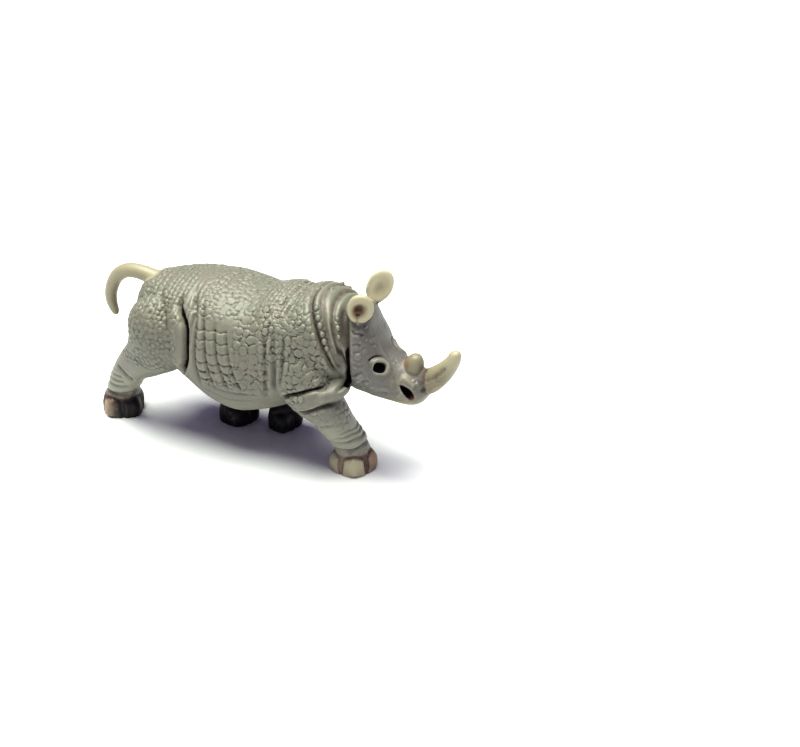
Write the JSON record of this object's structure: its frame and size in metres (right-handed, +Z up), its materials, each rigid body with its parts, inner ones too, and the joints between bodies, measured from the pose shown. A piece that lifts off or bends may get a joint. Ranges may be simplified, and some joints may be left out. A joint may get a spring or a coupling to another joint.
{
  "type": "rhinoceros figurine",
  "caption": "Small solid plastic rhinoceros in mid-trot, with folded, scaly hide, a long front horn, a stub horn, cupped ears and a curled tail.",
  "frame": {"origin": "on the ground under the middle of the figure's box", "axes": "+X from tail to horn, +Y to the animal's left, +Z up"},
  "size_m": [0.0652, 0.0218, 0.0339],
  "materials": {
    "painted_plastic": "soft plastic with thin satin grey paint, worn to cream on horns, ears and tail, brown wash on the feet"
  },
  "bodies": {
    "root": {"rhinoceros": "painted_plastic"}
  },
  "joints": []
}
